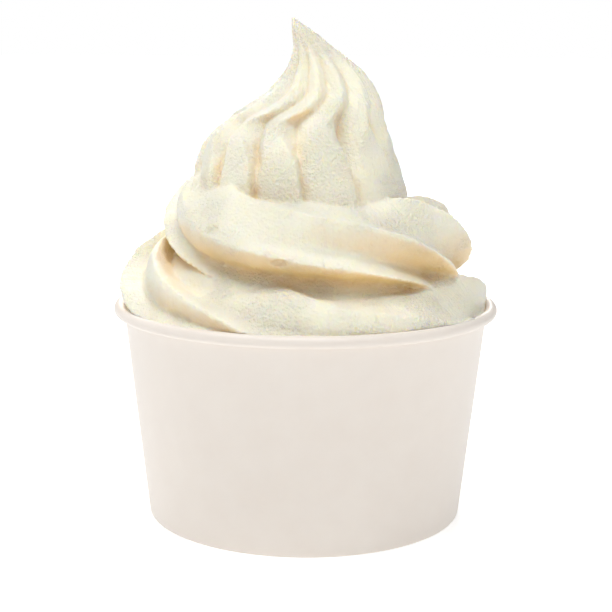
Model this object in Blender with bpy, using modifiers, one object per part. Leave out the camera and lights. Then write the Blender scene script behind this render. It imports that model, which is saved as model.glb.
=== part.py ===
"""Frozen yogurt in a paper cup.

A squat paper cup with a rolled rim and a recessed base, filled with frozen yogurt
that is swirled two turns above the rim and pulled up into a bent peak.
Lengths below are in millimetres, times MM; angles are in degrees.  The cup stands
on the plane z = 0, with its axis on Z; its front faces -Y.
"""

import math

import bmesh
import bpy
import numpy as np

MM = 0.001

# --- paper cup ---------------------------------------------------------------
CUP_HEIGHT = 54.0 * MM
RIM_RADIUS = 48.0 * MM          # outside of the rolled rim
FOOT_RADIUS = 39.6 * MM         # outside of the wall where it stands
WALL_TOP_RADIUS = 45.3 * MM     # outside of the wall under the rolled rim
PAPER = 0.42 * MM
ROLL_RADIUS = 1.45 * MM         # outside of the rolled rim's round section
ROLL_END = -125.0               # where the rolled edge stops, short of the wall
ROLL_PARTS = 7
SHOULDER_DROP = 1.5 * MM        # the wall steps out a little, this far under the roll
SHOULDER_STEP = 0.22 * MM
BASE_RECESS = 5.4 * MM          # underside of the base above the table
HEM_HEIGHT = 4.9 * MM           # wall edge folded up inside the foot
FITTING_GAP = 0.3 * MM          # left between pieces that touch
ROUND_STEPS = 56

# --- rope of yogurt, wound clockwise (seen from above) as it climbs ------------
# Turns counted from the front of the middle turn; then the rope's middle: its
# distance from the axis and its height; its half width and half height; and how far
# the nozzle's star has turned over there.
ROPE_STATIONS = (
    (-2.00, 31.5, 29.0, 13.0, 12.0, -811.0),
    (-1.25, 33.6, 51.0, 14.0, 13.6, -497.0),
    (-1.00, 33.2, 50.5, 13.8, 12.8, -450.0),
    (-0.75, 33.2, 57.0, 13.8, 13.8, -336.0),
    (-0.50, 30.6, 62.0, 13.4, 12.6, -220.0),
    (-0.25, 27.5, 65.3, 14.5, 13.8, -105.0),
    (0.00, 25.5, 71.0, 14.5, 13.0, 0.0),
    (0.12, 24.0, 72.4, 14.2, 12.8, 48.0),
    (0.25, 21.8, 75.4, 13.6, 12.6, 101.0),
    (0.75, 12.0, 84.0, 12.0, 11.0, 316.0),
)
RIDGE_ANGLES = (-80.0, 8.0, 74.0, 128.0, 180.0, 230.0)  # the nozzle's star, uneven
GROOVE_DEPTH = 0.40             # part of the rope's half width
GROOVE_PLACE = 0.27             # of the way from one ridge up to the next
RIDGE_LIFT = 0.8 * MM           # each ridge leans up a little over the groove above it
SPREAD = 45.0                   # ridges crowd together low down on the rope
SPREAD_SHIFT = -8.0
ROPE_RINGS = 260
ROPE_SIDES = 90

# --- crown: the last turn, pulled up into a peak -------------------------------
# Height, half width and how far its middle stands to the right of the cup's axis.
CROWN_STATIONS = (
    (70.0, 26.0, 0.0),
    (82.0, 27.6, -1.5),
    (88.0, 26.5, -2.1),
    (93.5, 24.0, -2.2),
    (98.5, 20.6, -0.5),
    (106.0, 13.8, 3.6),
    (111.0, 9.8, 3.9),
    (116.0, 5.8, 1.9),
    (120.5, 2.8, -1.2),
    (124.8, 0.5, -3.8),
)
CROWN_GROOVES = (-98.0, -62.0, -33.0, 0.0, 44.0, 80.0, 115.0, 150.0, 186.0, 222.0)
GROOVE_LEFT_AT_TOP = (0.3, 0.3, 0.12, 1.0, 1.0, 0.2, 1.0, 0.3, 1.0, 0.3)
FADE_HEIGHTS = (92.0, 104.0)    # between these the lesser grooves run out
SWING_SHARES = (0.8, 1.0, 1.0, 1.0, 0.35, 0.3, 0.4, 0.6, 0.6, 0.6)
# Height, groove depth, sideways swing of the grooves (of which each takes its share),
# where in its lobe a ridge stands (near the left groove low down, near the right one
# higher up), and how sharp it is, from 0, round, to 1, an edge.
CROWN_RIDGES = (
    (70.0, 6.0, 14.0, 0.25, 1.0),
    (82.0, 8.8, 5.0, 0.25, 1.0),
    (88.0, 8.8, -6.0, 0.32, 1.0),
    (93.0, 8.4, -17.0, 0.52, 1.0),
    (98.0, 6.6, -22.0, 0.86, 0.9),
    (102.0, 5.6, -16.0, 0.84, 0.4),
    (107.0, 4.8, -8.0, 0.76, 0.2),
    (112.0, 3.4, -2.0, 0.68, 0.0),
    (118.0, 1.8, 0.0, 0.60, 0.0),
    (124.8, 0.05, 0.0, 0.50, 0.0),
)
EDGE_POWER = 1.25               # bends the flanks of a sharp ridge inwards
CROWN_LEAST = 0.12              # the least of its half width that a groove leaves
CROWN_RINGS = 80
CROWN_SIDES = 180

# --- how the yogurt is fused into one solid ------------------------------------
# Radius and height of the plain heap inside the rope.
HEART_OUTLINE = ((40.0, 56.5), (35.5, 63.0), (29.5, 69.0), (20.0, 79.0), (12.0, 85.0))
FUSE_SIZE = 1.1 * MM
FUSE_SMOOTHING = 4
FACES_KEPT = 0.067

# --- colours (linear) ----------------------------------------------------------
PAPER_COLOUR = (0.76, 0.72, 0.66, 1.0)
BASE_COLOUR = (0.74, 0.71, 0.66, 1.0)
YOGURT_COLOUR = (0.88, 0.82, 0.66, 1.0)


def remove_old_objects():
    for old in list(bpy.data.objects):
        bpy.data.objects.remove(old, do_unlink=True)


def new_collection(name):
    collection = bpy.data.collections.new(name)
    bpy.context.scene.collection.children.link(collection)
    return collection


def principled(name, colour, roughness):
    material = bpy.data.materials.new(name)
    material.use_nodes = True
    shader = material.node_tree.nodes["Principled BSDF"]
    shader.inputs["Base Color"].default_value = colour
    shader.inputs["Roughness"].default_value = roughness
    shader.inputs["Metallic"].default_value = 0.0
    return material


def add_object(name, mesh, collection, material=None):
    piece = bpy.data.objects.new(name, mesh)
    collection.objects.link(piece)
    if material is not None:
        mesh.materials.append(material)
    return piece


def profile_mesh(name, points):
    """An open outline of (radius, height) points in the XZ plane."""
    mesh = bpy.data.meshes.new(name)
    edges = [(i, i + 1) for i in range(len(points) - 1)]
    mesh.from_pydata([(radius, 0.0, height) for radius, height in points], edges, [])
    return mesh


def add_screw(piece):
    turn = piece.modifiers.new("turn", "SCREW")
    turn.angle = math.tau
    turn.steps = ROUND_STEPS
    turn.render_steps = ROUND_STEPS
    turn.use_merge_vertices = True
    turn.merge_threshold = 0.00001
    turn.use_smooth_shade = True
    return turn


def wall_radius(height):
    """Outside of the tapering wall, measured where it runs plain."""
    top = CUP_HEIGHT - 2.0 * ROLL_RADIUS
    return FOOT_RADIUS + (WALL_TOP_RADIUS - FOOT_RADIUS) * height / top


def inner_radius(height):
    return wall_radius(height) - PAPER


def roll_point(angle, radius):
    """A point on a circle about the middle of the rolled rim."""
    turned = math.radians(angle)
    middle = RIM_RADIUS - ROLL_RADIUS
    return (middle + radius * math.cos(turned),
            CUP_HEIGHT - ROLL_RADIUS + radius * math.sin(turned))


def make_sidewall(collection):
    """The wall as one strip of paper: hem, wall, shoulder and rolled rim."""
    half = 0.5 * PAPER
    hem_offset = 2.0 * PAPER + 2.0 * FITTING_GAP
    shoulder = CUP_HEIGHT - 2.0 * ROLL_RADIUS - SHOULDER_DROP
    strip = [
        (wall_radius(HEM_HEIGHT) - half - hem_offset, HEM_HEIGHT),
        (wall_radius(PAPER) - half - hem_offset, PAPER),
        (wall_radius(0.0) - half - 0.8 * hem_offset, half),
        (wall_radius(0.0) - half - 0.2 * hem_offset, half),
        (wall_radius(PAPER) - half, 2.0 * PAPER),
        (wall_radius(shoulder) - half, shoulder),
        (wall_radius(shoulder) - half + SHOULDER_STEP, shoulder + SHOULDER_STEP),
    ]
    for part in range(ROLL_PARTS + 1):
        angle = 180.0 + (ROLL_END - 180.0) * part / ROLL_PARTS
        strip.append(roll_point(angle, ROLL_RADIUS - half))
    paper = principled("white_paperboard", PAPER_COLOUR, 0.55)
    wall = add_object("cup_sidewall", profile_mesh("cup_sidewall", strip), collection, paper)
    add_screw(wall)
    add_thickness(wall)
    return wall


def add_thickness(piece):
    sheet = piece.modifiers.new("paper", "SOLIDIFY")
    sheet.thickness = PAPER
    sheet.offset = 0.0
    sheet.use_even_offset = True
    return sheet


def base_skirt_radius(height):
    """Middle of the base's skirt, in the fold of the hem."""
    return wall_radius(height) - 1.5 * PAPER - FITTING_GAP


def make_base(collection):
    """The base: a disc with its edge turned down into the fold of the hem."""
    disc = BASE_RECESS + 0.5 * PAPER
    bend = 1.0 * MM
    lowest = PAPER + FITTING_GAP
    strip = [
        (base_skirt_radius(lowest), lowest),
        (base_skirt_radius(disc), disc - bend),
        (base_skirt_radius(disc) - 0.3 * bend, disc - 0.3 * bend),
        (base_skirt_radius(disc) - bend, disc),
        (0.0, disc),
    ]
    board = principled("white_base_board", BASE_COLOUR, 0.6)
    base = add_object("cup_base", profile_mesh("cup_base", strip), collection, board)
    add_screw(base)
    add_thickness(base)
    return base


def smooth_stations(stations, places):
    """Smooth curves through the stations' columns, read at each place."""
    table = np.asarray(stations, dtype=float)
    knots, values = table[:, 0], table[:, 1:]
    slopes = np.diff(values, axis=0) / np.diff(knots)[:, None]
    tangents = np.vstack([slopes[:1], 0.5 * (slopes[1:] + slopes[:-1]), slopes[-1:]])
    low = np.clip(np.searchsorted(knots, places, side="right") - 1, 0, len(knots) - 2)
    span = (knots[low + 1] - knots[low])[:, None]
    t = (places - knots[low])[:, None] / span
    start = (2 * t**3 - 3 * t**2 + 1) * values[low]
    end = (3 * t**2 - 2 * t**3) * values[low + 1]
    leave = (t**3 - 2 * t**2 + t) * span * tangents[low]
    arrive = (t**3 - t**2) * span * tangents[low + 1]
    return (start + end + leave + arrive).T


def lobe_place(angles, marks):
    """The number of the lobe each angle is in, plus how far across it, from 0 to 1."""
    closed = np.append(marks, marks[0] + 360.0)
    wrapped = (angles - marks[0]) % 360.0 + marks[0]
    return np.interp(wrapped, closed, np.arange(len(closed)))


def between_marks(place, values):
    """A value given at each mark, changing evenly from one mark to the next."""
    return np.interp(place, np.arange(len(values) + 1), np.append(values, values[0]))


def ramp(across, middle):
    """0 at both ends of a lobe and 1 at its middle, which may stand off centre."""
    return np.where(across < middle, across / middle, (1.0 - across) / (1.0 - middle))


def round_hump(across, middle):
    return np.sin(0.5 * np.pi * ramp(across, middle))


def rope_points():
    """The rope's rings: an uneven star that turns over as the rope winds."""
    turns = np.linspace(ROPE_STATIONS[0][0], ROPE_STATIONS[-1][0], ROPE_RINGS)
    reach, height, half_width, half_height, roll = (
        column[:, None] for column in smooth_stations(ROPE_STATIONS, turns))
    azimuth = np.radians(-360.0 * turns)[:, None]
    star = np.linspace(0.0, 360.0, ROPE_SIDES, endpoint=False)[None, :]
    around = np.radians(star + SPREAD_SHIFT + SPREAD * (1.0 - np.cos(np.radians(star))))
    across = lobe_place(star - roll, RIDGE_ANGLES) % 1.0
    groove = round_hump(across, GROOVE_PLACE)
    swell = 1.0 - GROOVE_DEPTH * groove
    lift = RIDGE_LIFT * (1.0 - groove)
    out = half_width * MM * swell * np.cos(around) - lift * np.sin(around)
    up = half_height * MM * swell * np.sin(around) + lift * np.cos(around)
    radius = np.maximum(reach * MM + out, 0.2 * MM)
    return np.stack([radius * np.sin(azimuth), -radius * np.cos(azimuth),
                     height * MM + up], axis=-1)


def crown_points():
    """The crown's rings: a cone of lobes whose ridges swing and run together."""
    heights = np.linspace(CROWN_STATIONS[0][0], CROWN_STATIONS[-1][0], CROWN_RINGS)
    half_width, shift = (c[:, None] for c in smooth_stations(CROWN_STATIONS, heights))
    depth, swing, ridge, edge = (
        c[:, None] for c in smooth_stations(CROWN_RIDGES, heights))
    azimuth = np.linspace(-180.0, 180.0, CROWN_SIDES, endpoint=False)[None, :]
    share = between_marks(lobe_place(azimuth, CROWN_GROOVES), SWING_SHARES)
    place = lobe_place(azimuth - swing * share, CROWN_GROOVES)
    across = place % 1.0
    sharp = ramp(across, ridge) ** EDGE_POWER
    groove = 1.0 - (edge * sharp + (1.0 - edge) * round_hump(across, ridge))
    fade = (heights[:, None] - FADE_HEIGHTS[0]) / (FADE_HEIGHTS[1] - FADE_HEIGHTS[0])
    fade = np.clip(fade, 0.0, 1.0)
    fade = fade * fade * (3.0 - 2.0 * fade)
    left = between_marks(place, GROOVE_LEFT_AT_TOP)
    groove = groove * (1.0 + (left - 1.0) * fade)
    radius = np.maximum(half_width - depth * groove, CROWN_LEAST * half_width)
    turned = np.radians(azimuth)
    return MM * np.stack([shift + radius * np.sin(turned), -radius * np.cos(turned),
                          heights[:, None] + 0.0 * radius], axis=-1)


def add_loft(builder, rings):
    """Faces between neighbouring rings of points, with both ends closed."""
    rows = [[builder.verts.new(point) for point in ring] for ring in rings]
    faces = [builder.faces.new(rows[0]), builder.faces.new(rows[-1])]
    for lower, upper in zip(rows, rows[1:]):
        for i in range(len(lower)):
            j = (i + 1) % len(lower)
            faces.append(builder.faces.new((lower[i], lower[j], upper[j], upper[i])))
    bmesh.ops.recalc_face_normals(builder, faces=faces)


def heart_rings():
    """The plain yogurt inside: it more than fills the cup, and is trimmed later."""
    outline = [(inner_radius(z) + MM, z) for z in (0.0, 0.5 * CUP_HEIGHT, CUP_HEIGHT)]
    outline += [(radius * MM, height * MM) for radius, height in HEART_OUTLINE]
    angles = [math.tau * i / ROUND_STEPS for i in range(ROUND_STEPS)]
    return [[(r * math.cos(a), r * math.sin(a), z) for a in angles] for r, z in outline]


def room_outline():
    """The room the yogurt may fill: inside the paper, and clear above the rim."""
    floor = BASE_RECESS + PAPER + FITTING_GAP
    clear = ROLL_RADIUS + FITTING_GAP
    far = RIM_RADIUS + 4.0 * MM
    above = (CROWN_STATIONS[-1][0] + 5.0) * MM
    outline = [(0.0, above), (far, above), (far, CUP_HEIGHT + 1.5 * MM)]
    outline += [roll_point(angle, clear) for angle in (72.0, 108.0, 144.0, 175.0)]
    shoulder = CUP_HEIGHT - 2.0 * ROLL_RADIUS - SHOULDER_DROP
    outline.append((inner_radius(shoulder) - FITTING_GAP, shoulder))
    outline.append((inner_radius(floor) - FITTING_GAP, floor))
    outline.append((0.0, floor))
    return outline


def make_room_cutter(collection):
    room = add_object("room_in_cup", profile_mesh("room_in_cup", room_outline()), collection)
    add_screw(room)
    room.hide_render = True
    room.display_type = "WIRE"
    return room


def make_yogurt(collection, room):
    """Rope, crown and heart fused into one solid and trimmed to the cup."""
    builder = bmesh.new()
    for rings in (rope_points(), crown_points(), heart_rings()):
        add_loft(builder, rings)
    mesh = bpy.data.meshes.new("frozen_yogurt")
    builder.to_mesh(mesh)
    builder.free()
    cream = principled("plain_frozen_yogurt", YOGURT_COLOUR, 0.45)
    yogurt = add_object("frozen_yogurt", mesh, collection, cream)
    fuse = yogurt.modifiers.new("fuse", "REMESH")
    fuse.mode = "VOXEL"
    fuse.voxel_size = FUSE_SIZE
    soften = yogurt.modifiers.new("soften", "SMOOTH")
    soften.iterations = FUSE_SMOOTHING
    thin = yogurt.modifiers.new("fewer_faces", "DECIMATE")
    thin.ratio = FACES_KEPT
    trim = yogurt.modifiers.new("trim_to_cup", "BOOLEAN")
    trim.operation = "INTERSECT"
    trim.object = room
    return yogurt


def main():
    remove_old_objects()
    parts = new_collection("frozen_yogurt_cup")
    cutters = new_collection("cutters")
    make_sidewall(parts)
    make_base(parts)
    room = make_room_cutter(cutters)
    make_yogurt(parts, room)


main()
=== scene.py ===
# %% [markdown]
# # Frozen yogurt in a paper cup
#
# Plain frozen yogurt is pressed through a star-shaped nozzle while the cup is moved
# round below it.  The rope that comes out lies down in turns, its ridges roll over as
# it winds, and the last turn is pulled up into a peak.  This lesson dresses the packed
# solid of that cup: a paper cup with a rolled rim, and a swirl worked out by rules.

# %% Load the frame
import math

import bmesh
import bpy
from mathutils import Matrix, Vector


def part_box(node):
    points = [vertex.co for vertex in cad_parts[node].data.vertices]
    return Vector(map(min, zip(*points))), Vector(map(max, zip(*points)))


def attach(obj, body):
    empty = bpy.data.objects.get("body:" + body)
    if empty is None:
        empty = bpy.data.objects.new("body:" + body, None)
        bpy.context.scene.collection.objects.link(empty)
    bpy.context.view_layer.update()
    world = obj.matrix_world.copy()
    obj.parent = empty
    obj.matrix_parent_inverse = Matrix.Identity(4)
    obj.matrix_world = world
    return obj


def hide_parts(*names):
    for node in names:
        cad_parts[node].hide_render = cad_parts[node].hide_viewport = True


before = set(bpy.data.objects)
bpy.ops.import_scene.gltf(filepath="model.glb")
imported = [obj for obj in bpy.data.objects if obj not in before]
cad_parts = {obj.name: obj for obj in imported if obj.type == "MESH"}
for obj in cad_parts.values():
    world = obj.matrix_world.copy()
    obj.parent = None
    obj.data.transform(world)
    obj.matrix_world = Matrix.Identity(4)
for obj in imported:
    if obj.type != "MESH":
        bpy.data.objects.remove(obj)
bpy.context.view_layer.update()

# %% [markdown]
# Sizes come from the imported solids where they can: the cup's height, rim and foot are
# read from its box.  The rest are the real thicknesses of a paper cup, in millimetres.

# %% Sizes of the cup
MM = 0.001
BODY = "root"

wall_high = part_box("cup_sidewall")[1]
CUP_HEIGHT = wall_high[2]
RIM_RADIUS = wall_high[0]
PAPER = 0.42 * MM
ROLL_RADIUS = 1.45 * MM
TAPER = 5.7 * MM                 # how much wider the wall is under the rim than at the foot
WALL_TOP = CUP_HEIGHT - 2.0 * ROLL_RADIUS
WALL_TOP_RADIUS = RIM_RADIUS - 2.0 * ROLL_RADIUS + 0.2 * MM
FOOT_RADIUS = WALL_TOP_RADIUS - TAPER
BASE_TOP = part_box("cup_base")[1][2]
FITTING_GAP = 0.3 * MM
print("cup", round(CUP_HEIGHT / MM, 1), "mm tall,", round(2 * RIM_RADIUS / MM, 1), "mm rim")


def wall_radius(height):
    """Outside of the plain wall at a height."""
    return FOOT_RADIUS + TAPER * height / WALL_TOP


# %% [markdown]
# ## Small helpers
#
# Colours are written as the hex values one reads on a screen and turned to linear
# light once.  Every node, in a material or in Geometry Nodes, is added by one function:
# its settings are set by name, and its inputs are either values or other sockets.

# %% Helpers for colours and nodes
def hex_colour(text):
    """An sRGB hex value as linear red, green, blue and a full alpha."""
    channels = [int(text[i:i + 2], 16) / 255.0 for i in (1, 3, 5)]
    linear = [c / 12.92 if c <= 0.04045 else ((c + 0.055) / 1.055) ** 2.4 for c in channels]
    return (*linear, 1.0)


def add_node(tree, kind, *values, named=None, output=0, **settings):
    """Adds a node: values fill its inputs in order, named ones by name; returns an output."""
    node = tree.nodes.new(kind)
    for name, value in settings.items():
        setattr(node, name, value)
    for key, value in (dict(enumerate(values)) | (named or {})).items():
        if isinstance(value, bpy.types.NodeSocket):
            tree.links.new(value, node.inputs[key])
        else:
            node.inputs[key].default_value = value
    return node.outputs[output]


def new_geometry_tree(name, sizes):
    """A Geometry Nodes tree with a geometry in and out and named inputs for its sizes."""
    tree = bpy.data.node_groups.new(name, "GeometryNodeTree")
    sockets = tree.interface
    sockets.new_socket("Geometry", in_out="INPUT", socket_type="NodeSocketGeometry")
    for label, kind in sizes.items():
        sockets.new_socket(label, in_out="INPUT", socket_type="NodeSocket" + kind)
    sockets.new_socket("Geometry", in_out="OUTPUT", socket_type="NodeSocketGeometry")
    return tree, tree.nodes.new("NodeGroupInput").outputs


def finish_tree(tree, geometry, material):
    """Ends a tree as every tree here ends: instances made real, and a material set."""
    real = add_node(tree, "GeometryNodeRealizeInstances", geometry)
    dressed = add_node(tree, "GeometryNodeSetMaterial", real, named={"Material": material})
    tree.links.new(dressed, tree.nodes.new("NodeGroupOutput").inputs[0])


def use_tree(piece, tree, **sizes):
    """Puts a tree on a piece, and sets its inputs by their identifiers."""
    modifier = piece.modifiers.new(tree.name, "NODES")
    modifier.node_group = tree
    labels = {label.replace("_", " "): value for label, value in sizes.items()}
    for item in tree.interface.items_tree:
        if item.in_out == "INPUT" and item.name in labels:
            modifier[item.identifier] = labels[item.name]


def link_object(name, mesh):
    piece = bpy.data.objects.new(name, mesh)
    bpy.context.scene.collection.objects.link(piece)
    return piece


def freeze(piece):
    """Replaces a piece's mesh by what its modifiers make of it, and drops them."""
    depsgraph = bpy.context.evaluated_depsgraph_get()
    mesh = bpy.data.meshes.new_from_object(piece.evaluated_get(depsgraph))
    piece.modifiers.clear()
    piece.data = mesh
    return mesh


def shade_smooth(mesh):
    for face in mesh.polygons:
        face.use_smooth = True


# %% [markdown]
# ## White paperboard
#
# A yogurt cup is folded from bleached board with a thin plastic film on it.  The film
# gives a satin sheen, and the board's fibres show as a faint cloudiness and a fine
# tooth.  Real fibres are about 0.03 mm thick and too fine to show, so the tooth is
# drawn ten times coarser; the clouds are a few millimetres across, as in real board.

# %% Make the paperboard
CLOUD_SIZE = 7.0 * MM
TOOTH_SIZE = 0.45 * MM
TOOTH_DEPTH = 0.06 * MM


def coated_paperboard(name, pale, shade, roughness):
    material = bpy.data.materials.new(name)
    material.use_nodes = True
    tree = material.node_tree
    shader = tree.nodes["Principled BSDF"]
    place = add_node(tree, "ShaderNodeTexCoord", output=3)
    clouds = add_node(tree, "ShaderNodeTexNoise", named={
        "Vector": place, "Scale": 1.0 / CLOUD_SIZE, "Detail": 3.0})
    tooth = add_node(tree, "ShaderNodeTexNoise", named={
        "Vector": place, "Scale": 1.0 / TOOTH_SIZE, "Detail": 2.0})
    colour = add_node(tree, "ShaderNodeMix", data_type="RGBA", output=2, named={
        0: clouds, 6: hex_colour(shade), 7: hex_colour(pale)})
    sheen = add_node(tree, "ShaderNodeMapRange", clouds, 0.3, 0.7,
                     roughness - 0.04, roughness + 0.04)
    relief = add_node(tree, "ShaderNodeMath", tooth, 0.35, clouds, operation="MULTIPLY_ADD")
    bump = add_node(tree, "ShaderNodeBump", named={
        "Strength": 0.12, "Distance": TOOTH_DEPTH, "Height": relief})
    tree.links.new(colour, shader.inputs["Base Color"])
    tree.links.new(sheen, shader.inputs["Roughness"])
    tree.links.new(bump, shader.inputs["Normal"])
    shader.inputs["IOR"].default_value = 1.48
    shader.inputs["Subsurface Weight"].default_value = 0.15
    shader.inputs["Subsurface Radius"].default_value = (1.0, 0.9, 0.8)
    shader.inputs["Subsurface Scale"].default_value = 0.6 * MM
    return material


white_paperboard = coated_paperboard("coated_white_paperboard", "#F2EAE1", "#EDE3D9", 0.42)
base_board = coated_paperboard("coated_base_board", "#F0EBE4", "#E8E2DA", 0.5)
print("materials:", white_paperboard.name, base_board.name)

# %% [markdown]
# ## The cup
#
# The cup's wall is one strip of board: it starts inside the foot as a folded hem, runs
# up the tapering wall, steps out a hair's breadth under the rim, where the rim tool
# pressed it, and ends in the rolled rim.  A turned profile gives exactly that, so the
# strip is drawn as points of radius and height, spun round, and given its thickness.

# %% Turn the wall and its rolled rim
ROUND_STEPS = 224
ROLL_PARTS = 18
ROLL_END = -125.0                # degrees at which the rolled edge stops, inside the bead
SHARP_FROM = math.radians(50.0)
SHOULDER_DROP = 1.5 * MM
SHOULDER_STEP = 0.22 * MM
HEM_HEIGHT = 4.9 * MM
HEM_FOLD = 0.4 * MM
FOOT_FOLD = 0.5 * MM


def turned_strip(name, points, material):
    """Spins an open outline of (radius, height) points and thickens it to paper."""
    mesh = bpy.data.meshes.new(name)
    edges = [(i, i + 1) for i in range(len(points) - 1)]
    mesh.from_pydata([(radius, 0.0, height) for radius, height in points], edges, [])
    mesh.materials.append(material)
    piece = link_object(name, mesh)
    turn = piece.modifiers.new("turn", "SCREW")
    turn.angle = math.tau
    turn.steps = ROUND_STEPS
    turn.render_steps = ROUND_STEPS
    turn.use_merge_vertices = True
    turn.merge_threshold = 0.00001
    sheet = piece.modifiers.new("paper", "SOLIDIFY")
    sheet.thickness = PAPER
    sheet.offset = 0.0
    sheet.use_even_offset = True
    freeze(piece)
    shade_smooth(piece.data)
    piece.data.set_sharp_from_angle(angle=SHARP_FROM)
    return piece


def rounded_corner(start, corner, end, radius, parts=4):
    """Points of a small arc that replaces a sharp corner of an outline."""
    corner_point = Vector(corner)
    to_start = (Vector(start) - corner_point).normalized() * radius
    to_end = (Vector(end) - corner_point).normalized() * radius
    first, last = corner_point + to_start, corner_point + to_end
    arc = []
    for i in range(parts + 1):
        t = i / parts
        point = first * (1 - t) ** 2 + corner_point * (2 * t * (1 - t)) + last * t ** 2
        arc.append(tuple(point))
    return arc


def wall_strip():
    half = 0.5 * PAPER
    hem = 2.0 * PAPER + 2.0 * FITTING_GAP
    shoulder = WALL_TOP - SHOULDER_DROP
    hem_top = (wall_radius(HEM_HEIGHT) - half - hem, HEM_HEIGHT)
    hem_foot = (wall_radius(0.0) - half - hem, half)
    foot = (wall_radius(0.0) - half, half)
    under_rim = (wall_radius(shoulder) - half, shoulder)
    strip = [hem_top]
    strip += rounded_corner(hem_top, hem_foot, foot, HEM_FOLD)
    strip += rounded_corner(hem_foot, foot, under_rim, FOOT_FOLD)
    strip.append(under_rim)
    strip.append((under_rim[0] + SHOULDER_STEP, shoulder + SHOULDER_STEP))
    middle = RIM_RADIUS - ROLL_RADIUS
    for part in range(ROLL_PARTS + 1):
        turned = math.radians(180.0 + (ROLL_END - 180.0) * part / ROLL_PARTS)
        reach = ROLL_RADIUS - half
        strip.append((middle + reach * math.cos(turned),
                      CUP_HEIGHT - ROLL_RADIUS + reach * math.sin(turned)))
    return strip


cup_wall = turned_strip("paper_wall", wall_strip(), white_paperboard)
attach(cup_wall, BODY)
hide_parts("cup_sidewall")
print("wall:", len(cup_wall.data.polygons), "faces")

# %% [markdown]
# The base is a disc whose edge is turned down and gripped by the hem.  It stands a few
# millimetres above the table, so that the cup rests on its hem alone.

# %% Turn the recessed base
BASE_FOLD = 1.0 * MM


def base_strip():
    disc = BASE_TOP - 0.5 * PAPER
    skirt = wall_radius(disc) - 1.5 * PAPER - FITTING_GAP
    skirt_foot = (wall_radius(0.0) - 1.5 * PAPER - FITTING_GAP, PAPER + FITTING_GAP)
    edge = rounded_corner(skirt_foot, (skirt, disc), (0.0, disc), BASE_FOLD)
    return [skirt_foot] + edge + [(0.0, disc)]


cup_base = turned_strip("paper_base", base_strip(), base_board)
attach(cup_base, BODY)
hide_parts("cup_base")
print("base:", len(cup_base.data.polygons), "faces")

# %% [markdown]
# ## The swirl: a path with sizes
#
# The rope and the crown are both ridged bodies: a star-shaped ring is carried along a
# path, and at each place the path says how wide and how high the ring is, how far the
# star has rolled and what its grooves are like.  A few stations hold those sizes, and a
# smooth curve through them fills in the rest.

# %% Stations of the rope and the crown
# Turns from the front of the middle turn; distance from the axis, height, half width
# and half height of the rope in millimetres; how far the star has turned over; and how
# far the lesser grooves have run out, so that the turn shows a broad plain face.
ROPE_STATIONS = (
    (-2.00, 31.5, 29.0, 13.0, 12.0, -795.0, 0.0),
    (-1.25, 33.6, 51.0, 14.0, 13.6, -490.0, 0.8),
    (-1.12, 33.4, 50.6, 13.9, 13.2, -448.0, 1.0),
    (-1.00, 33.2, 50.5, 13.8, 12.8, -420.0, 1.0),
    (-0.95, 33.2, 51.4, 13.8, 13.0, -391.0, 0.7),
    (-0.90, 33.2, 52.6, 13.8, 13.2, -377.0, 0.2),
    (-0.85, 33.2, 54.0, 13.8, 13.4, -366.0, 0.0),
    (-0.75, 33.2, 57.0, 13.8, 13.8, -341.0, 0.0),
    (-0.50, 30.6, 62.0, 13.4, 12.6, -220.0, 0.0),
    (-0.25, 27.6, 65.8, 14.6, 15.0, -100.0, 0.0),
    (-0.13, 26.7, 68.4, 14.6, 13.8, -34.0, 0.0),
    (-0.06, 26.1, 69.8, 14.5, 13.3, -16.0, 0.5),
    (0.00, 25.5, 71.0, 14.5, 13.0, -10.0, 0.9),
    (0.12, 24.0, 72.4, 14.2, 12.8, 14.0, 1.0),
    (0.25, 21.8, 75.4, 13.6, 12.6, 72.0, 1.0),
    (0.75, 12.0, 84.0, 12.0, 11.0, 300.0, 1.0),
)
# Degrees up from the outside where the rope's ridges stand before it rolls; its grooves'
# depth as a share of its half width, and how far across a lobe they are deepest.
RIDGE_ANGLES = (-60.0, 6.0, 48.0, 110.0, 160.0, 225.0)
GROOVE_DEPTH = 0.40
GROOVE_PLACE = 0.29
# How much of the groove above each ridge is left where the lesser grooves have run out.
GROOVE_LEFT = (1.0, 0.3, 0.7, 0.3, 0.6, 1.0)

# Height, half width, and how far the crown's middle stands to the right.
CROWN_STATIONS = (
    (70.0, 26.0, 0.0),
    (82.0, 26.0, -1.5),
    (88.0, 24.9, -2.1),
    (93.5, 23.0, -2.2),
    (98.5, 20.4, -0.7),
    (106.0, 13.8, 3.6),
    (111.0, 9.8, 3.9),
    (116.0, 5.8, 1.9),
    (120.5, 2.8, -1.2),
    (124.0, 0.5, -3.7),
)
# Degrees round from the front where the crown's ridges stand, low down.
CROWN_MARKS = (-100.0, -65.0, -37.0, -11.0, 18.0, 50.0, 84.0, 118.0, 150.0, 184.0, 220.0)
# How far each ridge takes part in the swing, and how much of its grooves runs to the peak.
SWING_SHARES = (0.8, 1.4, 1.8, 1.0, 0.4, 0.2, 0.3, 0.5, 0.6, 0.6, 0.7)
GROOVE_LEFT_AT_TOP = (0.4, 0.5, 1.0, 1.0, 1.0, 0.7, 0.4, 0.7, 0.5, 0.7, 0.4)
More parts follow.
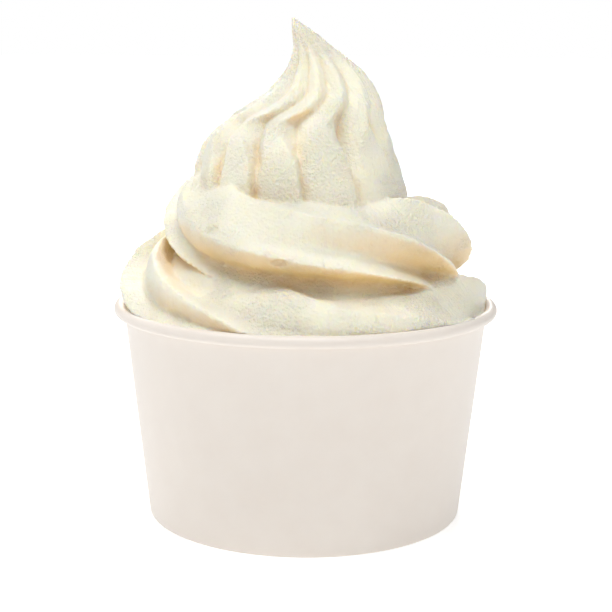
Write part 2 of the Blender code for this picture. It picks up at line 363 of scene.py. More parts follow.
# Height, groove depth, swing of the ridges in degrees, the shares of a lobe that the
# groove's steep side and its gentle side take, how sharp the crest is, and how far a
# face's right side stands out over the next one.  Low down the ridges are broad upright
# faces.  Near 98 mm each face ends in an arch with an open hollow beside it, and above
# it the ridge steps aside and runs up as one edge.
CROWN_FORM = (
    (70.0, 1.2, 0.0, 0.06, 0.20, 1.0, 1.6),
    (86.0, 1.4, 0.0, 0.06, 0.20, 1.0, 1.8),
    (90.0, 2.6, 0.0, 0.07, 0.24, 1.0, 1.8),
    (94.0, 4.6, -4.0, 0.14, 0.36, 1.0, 1.4),
    (97.0, 5.2, -7.0, 0.30, 0.46, 1.0, 0.8),
    (99.0, 4.6, -8.0, 0.42, 0.58, 1.0, 0.2),
    (102.5, 3.6, 3.0, 0.42, 0.58, 0.7, 0.0),
    (105.5, 3.8, 7.0, 0.42, 0.58, 0.4, 0.0),
    (110.0, 3.2, 0.0, 0.42, 0.58, 0.3, 0.0),
    (118.0, 1.6, -2.0, 0.42, 0.58, 0.2, 0.0),
    (124.0, 0.05, 0.0, 0.42, 0.58, 0.0, 0.0),
)
# How far across a lobe the crown's groove is deepest, and the heights between which its
# lesser grooves run out.
GROOVE_MIDDLE = 0.42
FADE_HEIGHTS = (92.0, 104.0)
ROPE_POINTS = 520
CROWN_POINTS = 170


def read_stations(stations, place):
    """A smooth curve through the stations' columns, read at one place."""
    knots = [row[0] for row in stations]
    low = max(i for i in range(len(knots) - 1) if knots[i] <= place or i == 0)

    def slope(i, column):
        rise = stations[i + 1][column] - stations[i][column]
        return rise / (knots[i + 1] - knots[i])

    def tangent(i, column):
        near = [slope(j, column) for j in (i - 1, i) if 0 <= j < len(knots) - 1]
        return sum(near) / len(near)

    span = knots[low + 1] - knots[low]
    t = (place - knots[low]) / span
    values = []
    for column in range(1, len(stations[0])):
        start, end = stations[low][column], stations[low + 1][column]
        values.append((2 * t**3 - 3 * t**2 + 1) * start + (3 * t**2 - 2 * t**3) * end
                      + (t**3 - 2 * t**2 + t) * span * tangent(low, column)
                      + (t**3 - t**2) * span * tangent(low + 1, column))
    return values


print("rope of", len(ROPE_STATIONS), "stations, crown of", len(CROWN_STATIONS))

# %% [markdown]
# A path is a plain line of points.  What a place says is stored on its point as named
# attributes, which Geometry Nodes read by those names: two directions that span the
# ring, its two half sizes, the roll, the groove depth, and how far the lesser grooves
# have run out.  The crown adds the shape of its grooves' sides and its faces' lean.

# %% Make the two paths
def path_object(name, rows):
    """A line through the rows' middles, with each row's sizes as attributes."""
    mesh = bpy.data.meshes.new(name)
    edges = [(i, i + 1) for i in range(len(rows) - 1)]
    mesh.from_pydata([row["middle"] for row in rows], edges, [])
    for key in rows[0]:
        kind = "FLOAT_VECTOR" if isinstance(rows[0][key], tuple) else "FLOAT"
        attribute = mesh.attributes.new("at_" + key, kind, "POINT")
        for item, row in zip(attribute.data, rows):
            if kind == "FLOAT":
                item.value = row[key]
            else:
                item.vector = row[key]
    return link_object(name, mesh)


def smooth_share(place, limits):
    """How far a place is from the first limit to the second, eased at both ends."""
    share = min(max((place - limits[0]) / (limits[1] - limits[0]), 0.0), 1.0)
    return share * share * (3.0 - 2.0 * share)


def rope_row(turn):
    reach, height, half_width, half_height, roll, run_out = read_stations(ROPE_STATIONS, turn)
    azimuth = math.radians(-360.0 * turn)
    outward = (math.sin(azimuth), -math.cos(azimuth), 0.0)
    return {
        "middle": (outward[0] * reach * MM, outward[1] * reach * MM, height * MM),
        "across": outward, "upright": (0.0, 0.0, 1.0),
        "half_width": half_width * MM, "half_height": half_height * MM,
        "roll": -roll, "depth": GROOVE_DEPTH * half_width * MM, "lean": 0.0,
        "fade": run_out}


def crown_row(height):
    half_width, shift = read_stations(CROWN_STATIONS, height)
    depth, swing, steep, gentle, edge, lean = read_stations(CROWN_FORM, height)
    return {
        "middle": (shift * MM, 0.0, height * MM),
        "across": (0.0, -1.0, 0.0), "upright": (1.0, 0.0, 0.0),
        "half_width": half_width * MM, "half_height": half_width * MM,
        "roll": -swing, "depth": depth * MM, "lean": lean * MM,
        "steep": steep, "gentle": gentle, "edge": edge,
        "fade": smooth_share(height, FADE_HEIGHTS)}


def evenly_through(stations, count):
    """Evenly spaced places from the first station to the last."""
    first, last = stations[0][0], stations[-1][0]
    return [first + (last - first) * i / (count - 1) for i in range(count)]


rope = path_object("rope_path", [rope_row(turn) for turn in
                                 evenly_through(ROPE_STATIONS, ROPE_POINTS)])
crown = path_object("crown_path", [crown_row(height) for height in
                                   evenly_through(CROWN_STATIONS, CROWN_POINTS)])
print("rope path of", len(rope.data.vertices), "points")

# %% [markdown]
# ## The ridged sweep
#
# One tree makes both bodies.  It carries a circle along the path, and keeps on every
# point the angle that it had on the circle.  An uneven star has its marks at uneven
# angles, so a curve with straight stretches from mark to mark turns an angle into the
# number of its lobe and how far across that lobe it is.

# %% Lobes of an uneven star
STAR = "star_angle"


def lobes_of(tree, turned, marks):
    """An angle in degrees as lobe number plus the part of the way across the lobe."""
    from_first = add_node(tree, "ShaderNodeMath", turned, marks[0], operation="SUBTRACT")
    wrapped = add_node(tree, "ShaderNodeMath", from_first, 360.0, operation="FLOORED_MODULO")
    part = add_node(tree, "ShaderNodeMath", wrapped, 360.0, operation="DIVIDE")
    spread = add_node(tree, "ShaderNodeFloatCurve", 1.0, part)
    draw_straight(spread.node, [((mark - marks[0]) / 360.0, i / len(marks))
                                for i, mark in enumerate(marks)] + [(1.0, 1.0)])
    return spread, add_node(tree, "ShaderNodeMath", spread, float(len(marks)),
                            operation="MULTIPLY")


def draw_straight(node, knots):
    """Gives a curve node straight stretches between its knots."""
    line = node.mapping.curves[0]
    line.points[0].location, line.points[1].location = knots[0], knots[-1]
    for knot in knots[1:-1]:
        line.points.new(*knot)
    for point in line.points:
        point.handle_type = "VECTOR"
    node.mapping.update()


def curve_over_lobes(tree, part, values):
    """A value for each mark, and evenly changing values between the marks."""
    curve = add_node(tree, "ShaderNodeFloatCurve", 1.0, part)
    draw_straight(curve.node, [(i / len(values), value)
                               for i, value in enumerate(values)] + [(1.0, values[0])])
    return curve


# %% [markdown]
# From one ridge to the next the groove's depth is worked out from how far across the
# place is.  The rope's groove is a round hollow nearer to the lower ridge.  The crown's
# groove has a steep side and a gentle side, with plain faces beside it low down; its
# sides are straight and crisp there and round near the peak.

# %% Grooves across a lobe
def rope_groove(tree, across, at, size):
    rising = add_node(tree, "ShaderNodeMath", across, GROOVE_PLACE, operation="DIVIDE")
    left = add_node(tree, "ShaderNodeMath", 1.0, across, operation="SUBTRACT")
    falling = add_node(tree, "ShaderNodeMath", left, 1.0 - GROOVE_PLACE, operation="DIVIDE")
    ramp = add_node(tree, "ShaderNodeMath", rising, falling, operation="MINIMUM")
    quarter = add_node(tree, "ShaderNodeMath", ramp, 0.5 * math.pi, operation="MULTIPLY")
    hump = add_node(tree, "ShaderNodeMath", quarter, operation="SINE")
    return add_node(tree, "ShaderNodeMath", hump, size["Sharpness"], operation="POWER")


def crown_groove(tree, across, at, size):
    left = add_node(tree, "ShaderNodeMath", GROOVE_MIDDLE, across, operation="SUBTRACT")
    right = add_node(tree, "ShaderNodeMath", across, GROOVE_MIDDLE, operation="SUBTRACT")
    left = add_node(tree, "ShaderNodeMath", left, at["steep"], operation="DIVIDE")
    right = add_node(tree, "ShaderNodeMath", right, at["gentle"], operation="DIVIDE")
    ramp = add_node(tree, "ShaderNodeMath", left, right, operation="MAXIMUM")
    ramp = add_node(tree, "ShaderNodeMath", ramp, 1.0, operation="MINIMUM")
    quarter = add_node(tree, "ShaderNodeMath", ramp, 0.5 * math.pi, operation="MULTIPLY")
    hump = add_node(tree, "ShaderNodeMath", quarter, operation="SINE")
    edge = add_node(tree, "ShaderNodeMath", ramp, size["Sharpness"], operation="POWER")
    ridge = add_node(tree, "ShaderNodeMix", at["edge"], named={2: hump, 3: edge})
    return add_node(tree, "ShaderNodeMath", 1.0, ridge, operation="SUBTRACT")


def ridged_sweep(name, marks, groove_of, left_at_top, roll_shares):
    tree, given = new_geometry_tree(name, {
        "Sides": "Int", "Sharpness": "Float", "Sag": "Float", "Crowding": "Float",
        "Shift": "Float", "Least": "Float", "Material": "Material"})
    path = add_node(tree, "GeometryNodeMeshToCurve", given["Geometry"])
    ring = add_node(tree, "GeometryNodeCurvePrimitiveCircle", given["Sides"])
    place = add_node(tree, "GeometryNodeSplineParameter")
    turned = add_node(tree, "ShaderNodeMath", place, 360.0, operation="MULTIPLY")
    ring = add_node(tree, "GeometryNodeStoreNamedAttribute", named={
        "Geometry": ring, "Name": STAR, "Value": turned})
    tube = add_node(tree, "GeometryNodeCurveToMesh", path, ring, named={"Fill Caps": True})
    at = {key: add_node(tree, "GeometryNodeInputNamedAttribute", "at_" + key, data_type=kind)
          for kind, keys in (("FLOAT_VECTOR", ("middle", "across", "upright")),
                             ("FLOAT", ("half_width", "half_height", "roll", "depth", "lean",
                                        "steep", "gentle", "edge", "fade")))
          for key in keys}
    star = add_node(tree, "GeometryNodeInputNamedAttribute", STAR, data_type="FLOAT")

    still, _ = lobes_of(tree, star, marks)
    share = curve_over_lobes(tree, still, roll_shares)
    rolled = add_node(tree, "ShaderNodeMath", at["roll"], share, star,
                      operation="MULTIPLY_ADD")
    part, lobes = lobes_of(tree, rolled, marks)
    across = add_node(tree, "ShaderNodeMath", lobes, operation="FRACT")
    groove = groove_of(tree, across, at, given)
    left = curve_over_lobes(tree, part, left_at_top)
    kept = add_node(tree, "ShaderNodeMix", at["fade"], named={2: 1.0, 3: left})
    groove = add_node(tree, "ShaderNodeMath", groove, kept, operation="MULTIPLY")

    ratio = add_node(tree, "ShaderNodeMath", at["depth"], at["half_width"],
                     operation="DIVIDE")
    cut = add_node(tree, "ShaderNodeMath", ratio, groove, operation="MULTIPLY")
    nearest = add_node(tree, "ShaderNodeMath", across, GROOVE_MIDDLE,
                       operation="GREATER_THAN")
    from_ridge = add_node(tree, "ShaderNodeMath", across, nearest, operation="SUBTRACT")
    lean = add_node(tree, "ShaderNodeMath", at["lean"], at["half_width"], operation="DIVIDE")
    lean = add_node(tree, "ShaderNodeMath", lean, from_ridge, 1.0, operation="MULTIPLY_ADD")
    swell = add_node(tree, "ShaderNodeMath", lean, cut, operation="SUBTRACT")
    swell = add_node(tree, "ShaderNodeMath", swell, given["Least"], operation="MAXIMUM")
    ridge = add_node(tree, "ShaderNodeMath", 1.0, groove, operation="SUBTRACT")
    sag = add_node(tree, "ShaderNodeMath", ridge, given["Sag"], operation="MULTIPLY")

    around = add_node(tree, "ShaderNodeMath", star, operation="RADIANS")
    cosine = add_node(tree, "ShaderNodeMath", around, operation="COSINE")
    low = add_node(tree, "ShaderNodeMath", 1.0, cosine, operation="SUBTRACT")
    crowded = add_node(tree, "ShaderNodeMath", low, given["Crowding"], star,
                       operation="MULTIPLY_ADD")
    placed = add_node(tree, "ShaderNodeMath", crowded, given["Shift"], operation="ADD")
    angle = add_node(tree, "ShaderNodeMath", placed, operation="RADIANS")
    cosine = add_node(tree, "ShaderNodeMath", angle, operation="COSINE")
    sine = add_node(tree, "ShaderNodeMath", angle, operation="SINE")

    wide = add_node(tree, "ShaderNodeMath", at["half_width"], swell, operation="MULTIPLY")
    high = add_node(tree, "ShaderNodeMath", at["half_height"], swell, operation="MULTIPLY")
    out = add_node(tree, "ShaderNodeMath", sag, sine, operation="MULTIPLY")
    out = add_node(tree, "ShaderNodeMath", wide, cosine, out, operation="MULTIPLY_ADD")
    drop = add_node(tree, "ShaderNodeMath", sag, cosine, operation="MULTIPLY")
    up = add_node(tree, "ShaderNodeMath", high, sine, operation="MULTIPLY")
    up = add_node(tree, "ShaderNodeMath", up, drop, operation="SUBTRACT")
    sideways = add_node(tree, "ShaderNodeVectorMath", at["across"], operation="SCALE",
                        named={"Scale": out})
    upwards = add_node(tree, "ShaderNodeVectorMath", at["upright"], operation="SCALE",
                       named={"Scale": up})
    moved = add_node(tree, "ShaderNodeVectorMath", sideways, upwards, operation="ADD")
    position = add_node(tree, "ShaderNodeVectorMath", moved, at["middle"], operation="ADD")
    swept = add_node(tree, "GeometryNodeSetPosition", tube, named={"Position": position})
    finish_tree(tree, swept, given["Material"])
    return tree


# %% [markdown]
# ## Plain frozen yogurt
#
# Frozen yogurt is milk solids, fat and fine ice with air beaten in.  Light goes a few
# millimetres into it, blue least of all, so thin edges glow and deep creases turn
# yellow.  That yellow and the shade of creases and undersides are painted into the
# colour as painted shade: two measures that the skin will carry, how far a place lies in
# a hollow and how much of the sky it sees, say where and how much.  The surface is soft
# matt with a faint wet sheen, with a fine grain from the ice and fine ripples across the
# flow.  Real ice grains are under 0.1 mm and too fine to show, so the grain is drawn
# coarser.

# %% Make the yogurt's material
YOGURT_CLOUDS = 9.0 * MM
RIPPLE_SIZE = 1.5 * MM
RIPPLE_WRAP = 32.0 * MM          # the ripples are laid round a drum of this radius
RIPPLE_RISE = 0.12               # share of the height that counts: they are drawn out upwards
GRAIN_SIZE = 0.7 * MM
GRAIN_PATCHES = 14.0 * MM
RELIEF_DEPTH = 0.75 * MM
LIGHT_REACH = 0.7 * MM


def frozen_yogurt_material(name):
    material = bpy.data.materials.new(name)
    material.use_nodes = True
    tree = material.node_tree
    shader = tree.nodes["Principled BSDF"]
    place = add_node(tree, "ShaderNodeTexCoord", output=3)
    clouds = add_node(tree, "ShaderNodeTexNoise", named={
        "Vector": place, "Scale": 1.0 / YOGURT_CLOUDS, "Detail": 2.0})
    hollow = add_node(tree, "ShaderNodeAttribute", attribute_name="hollow", output=2)
    sky = add_node(tree, "ShaderNodeAttribute", attribute_name="sky", output=2)
    plain = add_node(tree, "ShaderNodeMix", data_type="RGBA", output=2, named={
        0: clouds, 6: hex_colour("#FCEFDB"), 7: hex_colour("#FEF4E4")})
    # Painted shade: in hollows the colour turns darker amber, standing in for a crease's
    # shade and yellow bounce light.
    depth = add_node(tree, "ShaderNodeMapRange", hollow, 0.25, 1.0, 0.0, 0.55)
    colour = add_node(tree, "ShaderNodeMix", data_type="RGBA", output=2, named={
        0: depth, 6: plain, 7: hex_colour("#EAC66A")})
    # Painted shade: where a place sees little of the sky, as on undersides, the colour turns
    # darker yellow.
    painted_sky_shade = add_node(tree, "ShaderNodeMapRange", sky, 0.56, 0.04, 0.0, 1.0)
    colour = add_node(tree, "ShaderNodeMix", data_type="RGBA", output=2, named={
        0: painted_sky_shade, 6: colour, 7: hex_colour("#E4C582")})
    sheen = add_node(tree, "ShaderNodeMapRange", clouds, 0.3, 0.7, 0.34, 0.46)

    split = add_node(tree, "ShaderNodeSeparateXYZ", place)
    height = split.node.outputs[2]
    flat = add_node(tree, "ShaderNodeVectorMath", place, (1.0, 1.0, 0.0),
                    operation="MULTIPLY")
    outward = add_node(tree, "ShaderNodeVectorMath", flat, operation="NORMALIZE")
    round_it = add_node(tree, "ShaderNodeVectorMath", outward, operation="SCALE",
                        named={"Scale": RIPPLE_WRAP})
    slow_rise = add_node(tree, "ShaderNodeMath", height, RIPPLE_RISE, operation="MULTIPLY")
    rise = add_node(tree, "ShaderNodeCombineXYZ", 0.0, 0.0, slow_rise)
    flow = add_node(tree, "ShaderNodeVectorMath", round_it, rise, operation="ADD")
    ripples = add_node(tree, "ShaderNodeTexNoise", named={
        "Vector": flow, "Scale": 1.0 / RIPPLE_SIZE, "Detail": 2.0})
    grain = add_node(tree, "ShaderNodeTexNoise", named={
        "Vector": place, "Scale": 1.0 / GRAIN_SIZE, "Detail": 3.0})
    patches = add_node(tree, "ShaderNodeTexNoise", named={
        "Vector": place, "Scale": 1.0 / GRAIN_PATCHES, "Detail": 1.0})
    coarse = add_node(tree, "ShaderNodeMapRange", patches, 0.42, 0.60, 0.5, 1.8)
    grain = add_node(tree, "ShaderNodeMath", grain, coarse, operation="MULTIPLY")
    relief = add_node(tree, "ShaderNodeMath", ripples, 0.7, grain, operation="MULTIPLY_ADD")
    bump = add_node(tree, "ShaderNodeBump", named={
        "Strength": 1.0, "Distance": RELIEF_DEPTH, "Height": relief})
    tree.links.new(colour, shader.inputs["Base Color"])
    tree.links.new(sheen, shader.inputs["Roughness"])
    tree.links.new(bump, shader.inputs["Normal"])
    shader.inputs["IOR"].default_value = 1.4
    shader.inputs["Specular IOR Level"].default_value = 0.35
    shader.inputs["Subsurface Weight"].default_value = 1.0
    shader.inputs["Subsurface Radius"].default_value = (1.0, 0.85, 0.5)
    shader.inputs["Subsurface Scale"].default_value = LIGHT_REACH
    return material


frozen_yogurt = frozen_yogurt_material("plain_frozen_yogurt_surface")
print("material:", frozen_yogurt.name)

# %% [markdown]
# The two trees are put on their paths.  The rope rolls as one, and its underside is
# crowded upwards, as it lies flat on the turn below; the crown stands free.

# %% Sweep the rope and the crown
ROPE_SIDES = 180
CROWN_SIDES = 480
ROLLS_AS_ONE = (1.0, 1.0)
rope_tree = ridged_sweep("rope_from_star_nozzle", RIDGE_ANGLES, rope_groove,
                         GROOVE_LEFT, ROLLS_AS_ONE)
use_tree(rope, rope_tree, Sides=ROPE_SIDES, Sharpness=1.0, Sag=-0.8 * MM, Crowding=45.0,
         Shift=-8.0, Least=0.1, Material=frozen_yogurt)
crown_tree = ridged_sweep("crown_of_lobes", CROWN_MARKS, crown_groove, GROOVE_LEFT_AT_TOP,
                          SWING_SHARES)
use_tree(crown, crown_tree, Sides=CROWN_SIDES, Sharpness=0.9, Sag=0.0, Crowding=0.0,
         Shift=0.0, Least=0.12, Material=frozen_yogurt)
for swept in (rope, crown):
    freeze(swept)
    print(swept.name, len(swept.data.polygons), "faces")

# %% [markdown]
# ## One skin over everything
#
# On the real thing the turns melt into one another where they touch.  The rope, the
# crown and the plain heart inside them are joined and given one new skin, like shrink
# wrap, that follows the outside and leaves small fillets in the creases.

# %% Join the bodies and give them one skin
SKIN_STEP = 0.46 * MM
SOFTENINGS = 2
VISIBLE_FROM = 44.0 * MM
HEART_SHOULDER = 53.2 * MM
TURNED_PARTS = 180
# Radius and height, in millimetres, of the heart above its shoulder.
HEART_OUTLINE = ((40.0, 56.5), (35.5, 63.0), (29.5, 69.0), (20.0, 79.0), (12.0, 85.0))


def turned_solid(name, outline, steps):
    """A solid turned from (radius, height) points; both ends are on the axis."""
    builder = bmesh.new()
    ring = [builder.verts.new((radius, 0.0, height)) for radius, height in outline]
    edges = [builder.edges.new(pair) for pair in zip(ring, ring[1:])]
    bmesh.ops.spin(builder, geom=ring + edges, axis=(0.0, 0.0, 1.0), cent=(0.0, 0.0, 0.0),
                   angle=math.tau, steps=steps)
    bmesh.ops.remove_doubles(builder, verts=builder.verts, dist=0.01 * MM)
    bmesh.ops.recalc_face_normals(builder, faces=builder.faces)
    mesh = bpy.data.meshes.new(name)
    builder.to_mesh(mesh)
    builder.free()
    return link_object(name, mesh)


def inner_radius(height):
    return wall_radius(height) - PAPER


heart_outline = [(0.0, VISIBLE_FROM), (inner_radius(VISIBLE_FROM), VISIBLE_FROM),
                 (inner_radius(HEART_SHOULDER), HEART_SHOULDER)]
heart_outline += [(radius * MM, height * MM) for radius, height in HEART_OUTLINE]
heart_outline.append((0.0, HEART_OUTLINE[-1][1] * MM))
swirl = turned_solid("yogurt_swirl", heart_outline, TURNED_PARTS)

builder = bmesh.new()
for part in (swirl, rope, crown):
    builder.from_mesh(part.data)
builder.to_mesh(swirl.data)
builder.free()
for part in (rope, crown):
    bpy.data.objects.remove(part)

skin = swirl.modifiers.new("one_skin", "REMESH")
skin.mode = "VOXEL"
skin.voxel_size = SKIN_STEP
soften = swirl.modifiers.new("soften", "SMOOTH")
soften.iterations = SOFTENINGS
freeze(swirl)
print("skin:", len(swirl.data.polygons), "faces")

# %% [markdown]
# The skin gets what a hand-pulled swirl has: a slow unevenness, a few burst air bubbles,
# and two measures of every place that the painted shade in its colour needs.  One is how
# far a place lies below its surroundings.  The other is how much of the sky it sees: rays
# go out to a fixed set of directions, and those that meet the yogurt or leave backwards
# don't count.

# %% Work the skin
# Burst bubbles: degrees round from the front (minus is left), height, half width, half
# height and depth in millimetres.
BUBBLES = (
    (-36.0, 75.3, 1.6, 1.3, 0.9),
    (-9.0, 69.0, 2.1, 1.1, 0.9),
    (6.5, 68.6, 0.8, 0.6, 0.4),
    (18.0, 71.4, 1.5, 0.5, 0.4),
    (11.0, 57.4, 0.8, 0.6, 0.4),
)
# Rings of sky directions: degrees up, and how many there are round.
SKY_RINGS = ((90.0, 1), (60.0, 5), (32.0, 8), (6.0, 8))
SKY_REACH = 60.0 * MM
RAY_START = 0.35 * MM
SKY_BLUR = 4
WANDER_SIZE = 6.0 * MM
TORN_PATCHES = 17.0 * MM
CRUMB_SIZE = 2.0 * MM
THINNED_TO = 0.37


def sky_directions():
    for up, count in SKY_RINGS:
        for i in range(count):
            turned, raised = math.tau * i / count, math.radians(up)
            yield (math.cos(raised) * math.cos(turned), math.cos(raised) * math.sin(turned),
                   math.sin(raised))


def bubble_depth(tree, place, bubble):
    """How deep one burst bubble is at a place: an oval bowl with a soft edge."""
    turned, height, half_width, half_height, depth = bubble
    outward = (math.sin(math.radians(turned)), -math.cos(math.radians(turned)), 0.0)
    along = (-outward[1], outward[0], 0.0)
    sideways = add_node(tree, "ShaderNodeVectorMath", place, along, operation="DOT_PRODUCT",
                        output=1)
    rise = add_node(tree, "ShaderNodeVectorMath", place, (0.0, 0.0, 1.0),
                    operation="DOT_PRODUCT", output=1)
    rise = add_node(tree, "ShaderNodeMath", rise, height * MM, operation="SUBTRACT")
    wide = add_node(tree, "ShaderNodeMath", sideways, half_width * MM, operation="DIVIDE")
    tall = add_node(tree, "ShaderNodeMath", rise, half_height * MM, operation="DIVIDE")
    away = add_node(tree, "ShaderNodeCombineXYZ", wide, tall)
    away = add_node(tree, "ShaderNodeVectorMath", away, operation="LENGTH", output=1)
    bowl = add_node(tree, "ShaderNodeMapRange", away, 0.45, 1.0, depth * MM, 0.0,
                    interpolation_type="SMOOTHSTEP")
    front = add_node(tree, "ShaderNodeVectorMath", place, outward, operation="DOT_PRODUCT",
                     output=1)
    front = add_node(tree, "ShaderNodeMath", front, 0.0, operation="GREATER_THAN")
    return add_node(tree, "ShaderNodeMath", bowl, front, operation="MULTIPLY")


def skin_tree(name):
    tree, given = new_geometry_tree(name, {
        "Unevenness": "Float", "Tearing": "Float", "Blur": "Int", "Material": "Material"})
    place = add_node(tree, "GeometryNodeInputPosition")
    normal = add_node(tree, "GeometryNodeInputNormal")
    blurred = add_node(tree, "GeometryNodeBlurAttribute", data_type="FLOAT_VECTOR",
                       named={"Value": place, "Iterations": given["Blur"]})
    towards = add_node(tree, "ShaderNodeVectorMath", blurred, place, operation="SUBTRACT")
    inwards = add_node(tree, "ShaderNodeVectorMath", towards, normal, operation="DOT_PRODUCT",
                       output=1)
    in_mm = add_node(tree, "ShaderNodeMath", inwards, MM, operation="DIVIDE")
    marked = add_node(tree, "GeometryNodeStoreNamedAttribute", named={
        "Geometry": given["Geometry"], "Name": "hollow", "Value": in_mm})

    wander = add_node(tree, "ShaderNodeTexNoise", named={
        "Vector": place, "Scale": 1.0 / WANDER_SIZE, "Detail": 2.0})
    centred = add_node(tree, "ShaderNodeMath", wander, 0.5, operation="SUBTRACT")
    push = add_node(tree, "ShaderNodeMath", centred, given["Unevenness"],
                    operation="MULTIPLY")
    for bubble in BUBBLES:
        push = add_node(tree, "ShaderNodeMath", push, bubble_depth(tree, place, bubble),
                        operation="SUBTRACT")
    bulge = add_node(tree, "GeometryNodeInputNamedAttribute", "hollow", data_type="FLOAT")
    edge = add_node(tree, "ShaderNodeMapRange", bulge, -0.05, -0.45, 0.0, 1.0)
    patch = add_node(tree, "ShaderNodeTexNoise", named={
        "Vector": place, "Scale": 1.0 / TORN_PATCHES, "Detail": 1.0})
    torn = add_node(tree, "ShaderNodeMapRange", patch, 0.46, 0.58, 0.15, 1.0)
    torn = add_node(tree, "ShaderNodeMath", torn, edge, operation="MULTIPLY")
    crumbs = add_node(tree, "ShaderNodeTexNoise", named={
        "Vector": place, "Scale": 1.0 / CRUMB_SIZE, "Detail": 3.0})
    crumbs = add_node(tree, "ShaderNodeMath", crumbs, 0.55, operation="SUBTRACT")
    crumbs = add_node(tree, "ShaderNodeMath", crumbs, given["Tearing"], operation="MULTIPLY")
    push = add_node(tree, "ShaderNodeMath", torn, crumbs, push, operation="MULTIPLY_ADD")
    offset = add_node(tree, "ShaderNodeVectorMath", normal, operation="SCALE",
                      named={"Scale": push})
    marked = add_node(tree, "GeometryNodeSetPosition", marked, named={"Offset": offset})

    start = add_node(tree, "ShaderNodeVectorMath", normal, operation="SCALE",
                     named={"Scale": RAY_START})
    start = add_node(tree, "ShaderNodeVectorMath", place, start, operation="ADD")
    sky = 0.0
    for direction in sky_directions():
        facing = add_node(tree, "ShaderNodeVectorMath", normal, direction,
                          operation="DOT_PRODUCT", output=1)
        facing = add_node(tree, "ShaderNodeMath", facing, 0.0, operation="MAXIMUM")
        met = add_node(tree, "GeometryNodeRaycast", marked, named={
            "Source Position": start, "Ray Direction": direction, "Ray Length": SKY_REACH})
        clear = add_node(tree, "ShaderNodeMath", 1.0, met, operation="SUBTRACT")
        sky = add_node(tree, "ShaderNodeMath", facing, clear, sky, operation="MULTIPLY_ADD")
    whole_sky = sum(direction[2] for direction in sky_directions())
    share = add_node(tree, "ShaderNodeMath", sky, whole_sky, operation="DIVIDE")
    share = add_node(tree, "GeometryNodeBlurAttribute", data_type="FLOAT", named={
        "Value": share, "Iterations": SKY_BLUR})
    marked = add_node(tree, "GeometryNodeStoreNamedAttribute", named={
        "Geometry": marked, "Name": "sky", "Value": share})
    finish_tree(tree, marked, given["Material"])
    return tree


use_tree(swirl, skin_tree("yogurt_skin"), Unevenness=0.9 * MM, Tearing=1.6 * MM, Blur=24,
         Material=frozen_yogurt)
thin_out = swirl.modifiers.new("thin_out", "DECIMATE")
thin_out.ratio = THINNED_TO
freeze(swirl)
print("thinned:", sum(len(f.vertices) - 2 for f in swirl.data.polygons), "triangles")

# %% [markdown]
# A voxel skin can leave a few closed specks where two turns nearly meet.  They are not
# part of the one body, so they are dropped.  Then the body is fitted to the paper.

# %% Drop the specks
def drop_specks(mesh):
    """Keeps the largest of a mesh's separate bodies; returns how many others it had."""
    builder = bmesh.new()
    builder.from_mesh(mesh)
    bodies, seen = [], set()
    for first in builder.verts:
        if first in seen:
            continue
        body, front = {first}, [first]
        while front:
            vertex = front.pop()
            for edge in vertex.link_edges:
                other = edge.other_vert(vertex)
                if other not in body:
                    body.add(other)
                    front.append(other)
        seen |= body
        bodies.append(body)
    specks = sorted(bodies, key=len)[:-1]
    bmesh.ops.delete(builder, geom=[v for body in specks for v in body], context="VERTS")
    builder.to_mesh(mesh)
    builder.free()
    return len(specks)


print("specks dropped:", drop_specks(swirl.data))


# %% Trim the swirl to the cup
PAPER_GAP = 0.05 * MM


def trim_to_cup(mesh):
    """Keeps the yogurt inside the paper, over the bead, and above the hidden floor."""
    bead = RIM_RADIUS - ROLL_RADIUS
    bead_height = CUP_HEIGHT - ROLL_RADIUS
    clear = ROLL_RADIUS + PAPER_GAP
    for vertex in mesh.vertices:
        x, y, z = vertex.co
        radius = math.hypot(x, y)
        if z < bead_height:
            limit = inner_radius(z) - PAPER_GAP
            if z > bead_height - clear:
                limit = min(limit, bead - math.sqrt(clear**2 - (z - bead_height)**2))
            if radius > limit:
                vertex.co.xy = (x * limit / radius, y * limit / radius)
        elif radius > bead - clear and z < bead_height + clear:
            away = math.hypot(radius - bead, z - bead_height)
            if away < clear:
                vertex.co.z = bead_height + math.sqrt(max(clear**2 - (radius - bead)**2, 0.0))
        vertex.co.z = max(vertex.co.z, VISIBLE_FROM)


trim_to_cup(swirl.data)
shade_smooth(swirl.data)
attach(swirl, BODY)
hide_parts("frozen_yogurt")
heights = [v.co.z / MM for v in swirl.data.vertices]
print("swirl:", len(swirl.data.polygons), "faces,", round(min(heights), 2), "to",
      round(max(heights), 2), "mm")

# %% [markdown]
# ## The yogurt down in the cup
#
# What the paper hides is one plain turned body, from the base up to the swirl.

# %% Fill the cup
FLOOR_CORNER = 1.0 * MM
FILLING_PARTS = 128
FILLING_SHARP_FROM = math.radians(40.0)
yogurt_floor = BASE_TOP + FITTING_GAP
floor_radius = inner_radius(yogurt_floor) - PAPER_GAP
filling = turned_solid("yogurt_in_cup", [
    (0.0, yogurt_floor), (floor_radius - FLOOR_CORNER, yogurt_floor),
    (floor_radius, yogurt_floor + FLOOR_CORNER),
    (inner_radius(VISIBLE_FROM) - PAPER_GAP, VISIBLE_FROM), (0.0, VISIBLE_FROM)],
    FILLING_PARTS)
filling.data.materials.append(frozen_yogurt)
shade_smooth(filling.data)
filling.data.set_sharp_from_angle(angle=FILLING_SHARP_FROM)
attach(filling, BODY)
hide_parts("frozen_yogurt")
print("filling:", len(filling.data.polygons), "faces")

# %% [markdown]
# ## Table, light and camera
#
# The cup stands on a lit pale table in a bright room.  Of the soft lamps round it, those
# above, behind and at the upper left are the strong ones, and they draw the ridges.  The
# camera stands about half an arm's length away and looks a little down on the cup.

# %% Lay the table
# Its glow: from one distance to another in metres, it rises from one strength to another.
TABLE_GLOW = (0.12, 0.60, 0.48, 1.0)
TABLE_HALF = 20.0                # metres


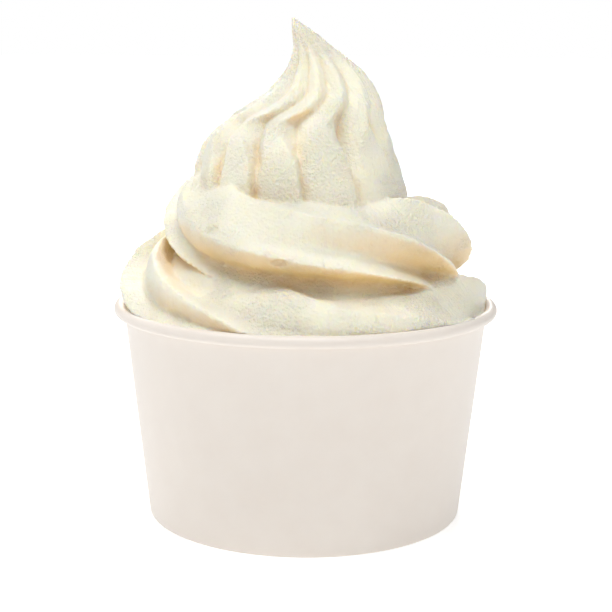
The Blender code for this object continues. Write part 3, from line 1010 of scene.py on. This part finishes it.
def make_table():
    """A wide table top of white acrylic, lit from below, most of all away from the cup."""
    builder = bmesh.new()
    bmesh.ops.create_grid(builder, x_segments=1, y_segments=1, size=TABLE_HALF)
    mesh = bpy.data.meshes.new("light_table")
    builder.to_mesh(mesh)
    builder.free()
    material = bpy.data.materials.new("lit_white_acrylic")
    material.use_nodes = True
    tree = material.node_tree
    shader = tree.nodes["Principled BSDF"]
    place = add_node(tree, "ShaderNodeTexCoord", output=3)
    away = add_node(tree, "ShaderNodeVectorMath", place, operation="LENGTH", output=1)
    glow = add_node(tree, "ShaderNodeMapRange", away, *TABLE_GLOW)
    tree.links.new(glow, shader.inputs["Emission Strength"])
    shader.inputs["Emission Color"].default_value = hex_colour("#FFFFFF")
    shader.inputs["Base Color"].default_value = hex_colour("#DADADA")
    shader.inputs["Roughness"].default_value = 0.6
    mesh.materials.append(material)
    table = link_object("light_table", mesh)


make_table()
print("table of", round(2.0 * TABLE_HALF), "m, glow", TABLE_GLOW[2], "near the cup")

# %% Set the lights
STUDIO_MIDDLE = Vector((0.0, 0.0, 0.07))
LAMP_DISTANCE = 1.0
# Where each lamp stands: degrees round from the front (minus is left) and up; its
# width in metres and its power in watts.
LAMPS = {
    "key_lamp": (-70.0, 64.0, 0.30, 3.4),
    "front_fill": (5.0, 14.0, 0.50, 0.45),
    "left_edge": (-120.0, 20.0, 0.50, 1.0),
    "left_back": (-150.0, 40.0, 0.50, 1.0),
    "right_edge": (85.0, 35.0, 0.50, 0.75),
    "back_lamp": (180.0, 24.0, 0.60, 4.4),
    "top_lamp": (8.0, 68.0, 0.40, 5.0),
}


def place_lamp(name, round_from_front, up, width, power):
    light = bpy.data.lights.new(name, "AREA")
    light.shape = "DISK"
    light.size = width
    light.energy = power
    lamp = bpy.data.objects.new(name, light)
    turned, raised = math.radians(round_from_front), math.radians(up)
    towards = Vector((math.sin(turned) * math.cos(raised),
                      -math.cos(turned) * math.cos(raised), math.sin(raised)))
    lamp.location = STUDIO_MIDDLE + LAMP_DISTANCE * towards
    lamp.rotation_euler = (-towards).to_track_quat("-Z", "Y").to_euler()
    bpy.context.scene.collection.objects.link(lamp)


for lamp_name, lamp_place in LAMPS.items():
    place_lamp(lamp_name, *lamp_place)
print(len(LAMPS), "lamps")

# %% [markdown]
# The room behind the lamps is dim, so that it adds little light, but the camera should
# see it as white as the table.  A Light Path node tells the two cases apart.

# %% Paint the room
ROOM_LIGHT = 0.135


def studio_room(dim_light):
    world = bpy.data.worlds.new("studio_room")
    world.use_nodes = True
    tree = world.node_tree
    seen = add_node(tree, "ShaderNodeLightPath")
    strength = add_node(tree, "ShaderNodeMix", seen, named={2: dim_light, 3: 1.0})
    background = tree.nodes["Background"]
    tree.links.new(strength, background.inputs["Strength"])
    background.inputs["Color"].default_value = hex_colour("#FFFFFF")
    return world


bpy.context.scene.world = studio_room(ROOM_LIGHT)
bpy.context.scene.view_settings.view_transform = "Standard"
print("room light", ROOM_LIGHT)

# %% Set the camera
# Distance and height in metres, looking down and leaning in degrees, lens and sensor in
# millimetres.
CAMERA_DISTANCE = 0.350
CAMERA_HEIGHT = 0.1162
LOOK_DOWN = 10.35
LEAN = 0.40
FOCAL_LENGTH = 82.74
SENSOR_WIDTH = 36.0
SIDE_SHIFT = 0.0007
lens = bpy.data.cameras.new("studio_camera")
lens.lens = FOCAL_LENGTH
lens.sensor_width = SENSOR_WIDTH
lens.shift_x = SIDE_SHIFT
camera = bpy.data.objects.new("studio_camera", lens)
bpy.context.scene.collection.objects.link(camera)
camera.location = (0.0, -CAMERA_DISTANCE, CAMERA_HEIGHT)
camera.rotation_mode = "ZYX"
camera.rotation_euler = (math.radians(90.0 - LOOK_DOWN), 0.0, math.radians(LEAN))
bpy.context.scene.camera = camera
print("camera", CAMERA_DISTANCE, "m away, looking", LOOK_DOWN, "degrees down")
